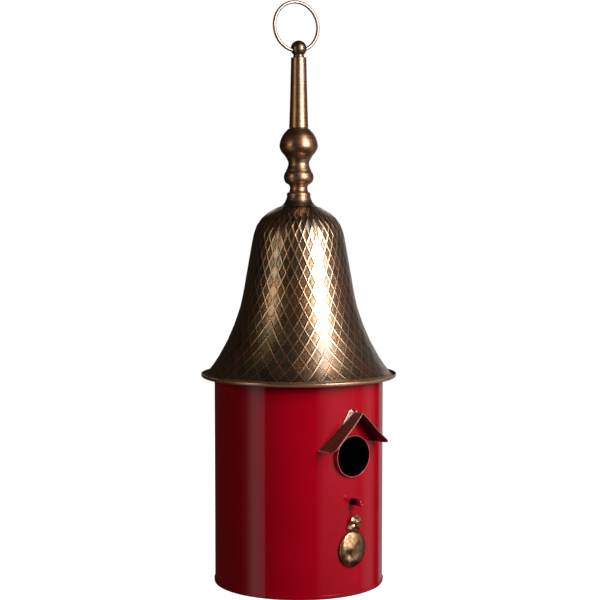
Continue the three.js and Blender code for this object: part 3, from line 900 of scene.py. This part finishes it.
def bell():
    """One closed sheet: diamonds outside from crown to rim, the curled rim, and a plain underside."""
    wall = BellWall()
    per = len(CELL_STEPS) - 1
    draw = random.Random(11)
    verts, ridge, painted_rim_shade, index, faces, cell_tone = [], [], [], {}, [], []

    def fade(f):
        """From 0 at the pattern's two ends to 1 a third of a row in."""
        return clamp(min(f, ROWS - f) / 0.35)

    def vertex(cu, cv, i, j, corners, tilt):
        """The point at step i, j of the diamond between lines cu and cu+1, cv and cv+1."""
        gu, gv = cu * per + i, cv * per + j
        turns = math.floor((gu + gv) / 2 / (per * LINES))
        key = (gu - turns * per * LINES, gv - turns * per * LINES)
        if key in index:
            return index[key]
        u, v = CELL_STEPS[i], CELL_STEPS[j]
        f = (cv + v - cu - u) / 2
        across = (cu + u + cv + v) / 2
        true = wall.point(across, f)
        p00, p10, p01, p11 = corners
        chord = p00 * (1 - u) * (1 - v) + p10 * u * (1 - v) + p01 * (1 - u) * v + p11 * u * v
        flat = FLATNESS * fade(f)
        point = true * (1 - flat) + chord * flat
        near = min(u, 1 - u, v, 1 - v) * wall.spacing(f)
        (r, _), (nr, nz) = wall.at(f)
        # The lines are lower where they crowd round the crown.
        crest = math.exp(-((near / LINE_WIDTH) ** 2)) * min(1.0, 0.45 + max(0.0, r - 22) / 24)
        inside = 16 * u * (1 - u) * v * (1 - v)
        lift = LINE_HEIGHT * crest * min(1.0, fade(f) * 2) + inside * (0.06 + tilt * (u - 0.5))
        index[key] = len(verts)
        verts.append(point + lift * round_bell(nr, across, nz))
        ridge.append(crest)
        painted_rim_shade.append(0.0)
        return index[key]

    # Diamonds lie between two lines of each direction. A line of the first falls to the left as it
    # goes down and one of the second to the right, so a diamond's middle is (cv - cu) / 2 rows down.
    top_ring, bottom_ring = {}, {}
    for drop in range(2 * ROWS + 1):
        for cu_raw in range(LINES):
            cu = cu_raw - drop // 2 - drop % 2
            cv = cu + drop
            corners = [
                wall.point((cu + cv + right) / 2, (cv - cu + down) / 2)
                for right, down in ((0, 0), (1, -1), (1, 1), (2, 0))
            ]
            tone, tilt = draw.random(), draw.uniform(-0.1, 0.1)
            at_crown, at_rim = drop == 0, drop == 2 * ROWS
            for i in range(per):
                for j in range(per):
                    steps = [(i, j), (i + 1, j), (i + 1, j + 1), (i, j + 1)]
                    if at_crown:
                        steps = [s for s in steps if s[1] >= s[0]]
                    if at_rim:
                        steps = [s for s in steps if s[1] <= s[0]]
                    if len(steps) < 3:
                        continue
                    faces.append([vertex(cu, cv, *s, corners, tilt) for s in steps])
                    cell_tone.append(tone)
            if at_crown or at_rim:
                ring = top_ring if at_crown else bottom_ring
                for i in range(per):
                    across = cu + CELL_STEPS[i] + drop / 2
                    ring[round(across, 6) % LINES] = vertex(cu, cv, i, i, corners, tilt)

    def add_ring(r, z, angles, painted_highlight=0.0, shade_amount=0.0):
        start = len(verts)
        painted_rim_shade.extend([shade_amount] * len(angles))
        for across in angles:
            verts.append(round_bell(r, across, z))
            # The rim's painted highlight goes into the lines' mask and takes their bright copper colour.
            ridge.append(painted_highlight)
        return list(range(start, len(verts)))

    def bridge(one, two):
        faces.extend(band(one, two))
        cell_tone.extend([PLAIN_TONE] * len(one))

    top_angles, bottom_angles = sorted(top_ring), sorted(bottom_ring)
    (top_r, _), _ = wall.at(0.0)
    crown_edge = [top_ring[key] for key in top_angles]
    for r, z in ([top_r - 1, CROWN_Z], [ROD_HOLE + 0.4, CROWN_Z], [ROD_HOLE, CROWN_Z - 0.4]):
        ring = add_ring(r, z, top_angles)
        bridge(ring, crown_edge)
        crown_edge = ring

    # From the last diamond the sheet turns through a gutter into an upright lip, and its underside
    # comes back the same way.
    end, _ = wall.at(ROWS)
    bend, bend_from = 1.9, -132
    gutter = [RIM_R - bend, RIM_Z + bend]
    run = smooth([end, [88.6, 201.7], [90, 200.5], [gutter[0] - 0.85, gutter[1] - 0.6]], 4)[1:-1]
    curl = arc(*gutter, bend - BELL_SHEET, bend_from, 0, 8)
    lip = [curl[-1], [RIM_R - BELL_SHEET, LIP_Z], [RIM_R, LIP_Z], [RIM_R, gutter[1]]]
    edge = fillet(lip, 0.42, 5)[1:-1]
    outside = arc(*gutter, bend, 0, bend_from, 16)
    under = smooth([outside[-1], [89.4, 199.6], [87.8, 201.2]], 4)[1:]
    underside_r = under[-1][0] - BELL_SHEET
    for f in np.linspace(ROWS - 0.1, 0.0, 34):
        (r, z), (nr, nz) = wall.at(f)
        if r <= underside_r:
            under.append([r - nr * BELL_SHEET, z - nz * BELL_SHEET])
    under += [[15.5, CROWN_Z - BELL_SHEET], [ROD_HOLE, CROWN_Z - BELL_SHEET]]

    # How much painted highlight and how much painted shade each stretch of the rim gets.
    stretches = [(0.0, 0.5, run), (0.0, 1.0, curl), (0.3, 0.6, edge[:5]), (1.0, 0.0, edge[5:])]
    stretches += [(0.7, 0.3, outside), (0.0, 0.0, under)]
    last = [bottom_ring[key] for key in bottom_angles]
    for painted_highlight, shade_amount, points in stretches:
        for r, z in points:
            ring = add_ring(r, z, bottom_angles, painted_highlight, shade_amount)
            bridge(last, ring)
            last = ring
    bridge(last, crown_edge)

    obj = make("bell", verts, faces, 50)
    float_attribute(obj, "ridge", ridge)
    float_attribute(obj, "painted_rim_shade", painted_rim_shade)
    float_attribute(obj, "cell", cell_tone, "FACE")
    finish_piece(obj, "roof", BELL, "bell_roof")


# ---------- finial ----------
def finial_cup():
    """The flared cup on the crown, olive over its flare as the bell is."""
    foot = CROWN_Z + GAP
    top = node_box("finial_base")[1][2]
    flare = [[18.8, foot + 0.05], [17.2, foot + 0.4], [15.5, 363.2], [14.0, 364.9]]
    flare = smooth([*flare, [12.6, 367.2], [11.6, 369.8], [11.2, 371.2]], 8)
    collar = fillet([[11.2, 371.4], [11.35, 371.8], [11.35, 373.7], [10.9, 374.7], [9.4, top + 0.1]], 0.3)
    boss = [[8.6, top + 0.28], [BORE, top + 0.28]]
    cup = lathe("finial_cup", [[BORE, foot], [18.3, foot], *flare, *collar, *boss], 128)
    patina_from, patina_fade = 11.4, 2.2
    float_attribute(cup, "patina", [clamp((r - patina_from) / patina_fade) for r in radii(cup)])
    finish_piece(cup, "finial", TURNED, "finial_base")


def finial_body():
    """Neck, flattened ball, bead, waist and large ball, turned in one piece."""
    low, high = node_box("finial_spindle")
    neck = smooth([[9.1, 376.3], [8.7, 377.2], [8.4, 378.9], [8.5, 380.6], [9.4, 382.2]], 6)
    small = smooth([[9.4, 382.3], [11.6, 383.6], [13.4, 385.8], [14.25, 389], [13.8, 392.4], [12.4, 395]], 9)
    bead = smooth([[11.7, 395.2], [12.05, 395.8], [12.05, 396.6], [11.3, 397.4]], 5)
    waist = smooth([[11.1, 397.9], [10.2, 400.6], [9.9, 402.8], [10.4, 405.2]], 8)
    ledge = [[10.9, 405.4], [11.1, 405.9]]
    large = [[11.1, 406.1], [11.7, 407.3], [13.4, 410], [16.2, 413.4], [18, 417]]
    large = smooth([*large, [18.25, 420.6], [16.9, 426], [14.2, 431], [10.2, high[2] - 0.3]], 8)
    bore_top, socket_end = 402, 424
    hollow = [[0, bore_top], [BORE, bore_top], [BORE, low[2]], [8.9, low[2]]]
    socket = [[STUD + GAP, high[2]], [STUD + GAP, socket_end], [0, socket_end]]
    profile = [*hollow, *neck, *small, *bead, *waist, *ledge, *large, [9.6, high[2]], *socket]
    body = lathe("finial_body", profile, 128, 30)
    finish_piece(body, "finial", TURNED, "finial_spindle")


def finial_sleeve():
    """The tapered sleeve of the stem."""
    low, high = node_box("finial_stem")
    inner = STUD + 0.9
    wall = smooth([[9.2, low[2] + 0.8], [9.15, 438], [8.85, 444], [8.15, 467], [7.6, 490], [7.35, 501]], 8)
    top = fillet([[7.34, 501.4], [7.3, high[2]], [inner, high[2]]], 0.5)
    profile = [[inner, low[2]], [8.8, low[2]], *wall, *top]
    sleeve = lathe("finial_sleeve", profile)
    finish_piece(sleeve, "finial", TURNED, "finial_stem")


def top_ball():
    """The ball with its cross hole, countersunk a little at both mouths."""
    low, high = node_box("top_ball")
    radius = (high[0] - low[0]) / 2
    middle = high[2] - radius
    socket_end = 505.5
    socket = [[0, socket_end], [STUD + GAP, socket_end], [STUD + GAP, low[2]]]
    foot = fillet([[5.0, low[2]], [5.3, low[2] + 0.3], [5.1, low[2] + 1.4]], 0.3)
    profile = [*socket, *foot, *arc(0, middle, radius, -50, 90, 44)]
    profile[-1][0] = 0
    ball = lathe("ball", profile)
    angle = math.atan2(ring_axis.y, ring_axis.x)
    along = Matrix.Translation((0, 0, RING_PIVOT[2])) @ Matrix.Rotation(angle, 4, "Z")
    along @= Matrix.Rotation(math.pi / 2, 4, "Y")
    hole, mouth, past, slope = 3.1, 4.6, 20, 1.6
    half = [[hole, radius - slope], [mouth, radius - 0.1], [mouth, past], [0, past]]
    bore = [*[[r, -z] for r, z in reversed(half)], *half]
    boolean(ball, [place(lathe("cutter", bore, 48), along)])
    shade_smooth(ball.data, 25)
    finish_piece(ball, "finial", BALL, "top_ball")


def hanging_ring():
    """The wire ring, hanging through the top ball."""
    ring_r, wire_r, drop = 23.2, 1.6, 0.66
    lean, roll, turn = (math.radians(d) for d in (-3.3, -5.0, -10.4))
    count, around = 220, 24
    verts, loops = [], []
    for i in range(count):
        a = TAU * i / count - math.pi / 2
        loops.append(list(range(i * around, (i + 1) * around)))
        for j in range(around):
            b = TAU * j / around
            r = ring_r + wire_r * math.cos(b)
            verts.append([r * math.cos(a), wire_r * math.sin(b), r * math.sin(a) + ring_r - drop])
    ring = make("ring", verts, closed_bands(loops))
    pose = Matrix.Translation((0, 0, RING_PIVOT[2])) @ Matrix.Rotation(turn, 4, "Z")
    pose @= Matrix.Rotation(lean, 4, "X") @ Matrix.Rotation(roll, 4, "Y")
    finish_piece(place(ring, pose), "ring", RING, "hanging_ring")


# ---------- inner hardware ----------
def inner_hardware():
    """The hidden fastenings keep their CAD shapes, with softened edges."""
    softening = 0.25
    nodes = ["perch_nut", "cross_strap", "strap_rivet_left", "strap_rivet_right"]
    nodes += ["tie_rod", "tie_rod_nut_lower", "tie_rod_nut_upper", "finial_stud"]
    for node in nodes:
        obj = frame["nodes"][node]
        paint(obj, ZINC)
        soften = obj.modifiers.new("soften", "BEVEL")
        soften.width = softening * MM
        soften.segments = 2
        soften.limit_method = "ANGLE"
        soften.angle_limit = math.radians(40)


# ---------- stage: camera and lights in metres ----------
CAMERA_AZIMUTH = -37.9
CAMERA_PITCH = 4.03
CAMERA_DISTANCE = 1.5257
CAMERA_LENS = 95.29
AIM_HEIGHT = 0.2719
AIM_RIGHT = 0.00125


def from_camera(azimuth, elevation, distance):
    """A place round the object's axis: azimuth is in degrees to the camera's right."""
    a = math.radians(CAMERA_AZIMUTH + azimuth)
    e = math.radians(elevation)
    return distance * Vector((math.sin(a) * math.cos(e), -math.cos(a) * math.cos(e), math.sin(e)))


def camera():
    """The photo's view of the object."""
    data = bpy.data.cameras.new("camera")
    data.lens = CAMERA_LENS
    data.sensor_width = 36
    cam = new_object("camera", data)
    right = from_camera(90, 0, AIM_RIGHT)
    aim = Vector((right.x, right.y, AIM_HEIGHT))
    back = from_camera(0, CAMERA_PITCH, CAMERA_DISTANCE)
    cam.location = aim + back
    cam.rotation_euler = (-back).to_track_quat("-Z", "Y").to_euler()
    bpy.context.scene.camera = cam


def panel(name, start, end, bottom, top, radiance, distance=1.0, colour=(1, 1, 1)):
    """An upright soft panel facing the axis, between two azimuths and two heights.

    Panels that overlap stand at different distances: of two in one plane, only one would be mirrored.
    """
    middle = (start + end) / 2
    width = 2 * distance * math.tan(math.radians(abs(end - start) / 2))
    light = bpy.data.lights.new(name, "AREA")
    light.shape = "RECTANGLE"
    light.size = width
    light.size_y = top - bottom
    light.color = colour
    light.energy = radiance * math.pi * width * (top - bottom)
    lamp = new_object(name, light)
    away = from_camera(middle, 0, distance)
    lamp.location = (away.x, away.y, (bottom + top) / 2)
    lamp.rotation_euler = (-away).to_track_quat("-Z", "Y").to_euler()
    lamp.visible_camera = False


def lights():
    """A bright key to the right and a weaker fill to the left, layered so that their edges are soft."""
    cool, warm = (0.97, 1.0, 1.06), (0.98, 1.0, 0.86)
    for i, (top, radiance) in enumerate(((1.9, 1.6), (1.5, 2.45), (1.12, 3.6), (0.85, 4.5))):
        panel(f"key_{i}", 37 - 2 * i, 56 + 2 * i, 0.3 + 0.03 * i, top, radiance, 1 + 0.01 * i, cool)
    for i in range(5):
        panel(f"key_skirt_{i}", 24 + 4 * i, 96 - 9 * i, -0.38 + 0.1 * i, 0.3, 0.078, 1.05 + 0.01 * i)
    for i in range(3):
        panel(f"side_{i}", 91 + 4 * i, 122 - 5 * i, -0.5, 0.3, 0.1, 1 + 0.01 * i)
    panel("key_wing", 8, 88, 0.36, 1.1, 0.15, 1.14)
    panel("side_high", 80, 138, 0.32, 1.0, 0.06, 1.1)
    panel("edge_low", 138, 172, -0.5, 0.3, 0.3)
    panel("edge_high", 142, 166, 0.3, 1.0, 0.35, 1.02)
    low_fill = ((-45, -64, 0.25), (-45, -69, 0.13), (-53, -72, 0.11), (-45, -80, 0.04))
    for i, (start, end, radiance) in enumerate(low_fill):
        panel(f"fill_low_{i}", start, end, -0.6, 0.2, radiance, 1 + 0.01 * i)
    for i in range(3):
        start, end, bottom, top = -46 - 2 * i, -62 + 2 * i, 0.34 + 0.03 * i, 0.88 - 0.06 * i
        panel(f"fill_{i}", start, end, bottom, top, 0.87, 1.05 + 0.01 * i, warm)
    panel("back", 162, 198, 0.5, 0.86, 1.0, 1.2)


def world():
    """White to the camera, and to the object a dim room, warm in reflections and cool otherwise."""
    made = bpy.data.worlds.new("world")
    bpy.context.scene.world = made
    made.use_nodes = True
    tree = made.node_tree
    path = tree.nodes.new("ShaderNodeLightPath")
    mirrored, scattered, seen = ((1.0, 0.85, 0.66), 0.017), ((0.9, 0.94, 1.0), 0.016), ((1, 1, 1), 1.0)
    shades = []
    for colour, strength in (mirrored, scattered, seen):
        shade = tree.nodes.new("ShaderNodeBackground")
        shade.inputs["Color"].default_value = (*colour, 1)
        shade.inputs["Strength"].default_value = strength
        shades.append(shade.outputs[0])
    last = shades[0]
    for ray, shade in zip(("Is Diffuse Ray", "Is Camera Ray"), shades[1:]):
        mix = tree.nodes.new("ShaderNodeMixShader")
        tree.links.new(path.outputs[ray], mix.inputs[0])
        tree.links.new(last, mix.inputs[1])
        tree.links.new(shade, mix.inputs[2])
        last = mix.outputs[0]
    tree.links.new(last, tree.nodes["World Output"].inputs["Surface"])


def floor():
    """A white floor that glows evenly, and that the object neither mirrors nor is lit by."""
    reach, depth, below = 6000, 20, 0.4
    ground = lathe("floor", [[0, -depth], [reach, -depth], [reach, 0], [0, 0]])
    place(ground, Matrix.Translation((0, 0, -below)))
    n = Nodes("floor_white")
    n.surface(
        Base_Color=rgb(0.8, 0.8, 0.8),
        Roughness=0.9,
        Specular_IOR_Level=0.0,
        Emission_Color=rgb(1, 1, 1),
        Emission_Strength=1.0,
    )
    paint(ground, n.material)
    ground.visible_glossy = ground.visible_diffuse = ground.visible_shadow = False


# ---------- the scene ----------
camera()
lights()
world()
floor()
bpy.context.scene.view_settings.view_transform = "Standard"

body_tube()
base_pan()
entrance_collar()
entrance_canopy()
canopy_rivets()
perch()
cover()
bell()
finial_cup()
finial_body()
finial_sleeve()
top_ball()
hanging_ring()
inner_hardware()
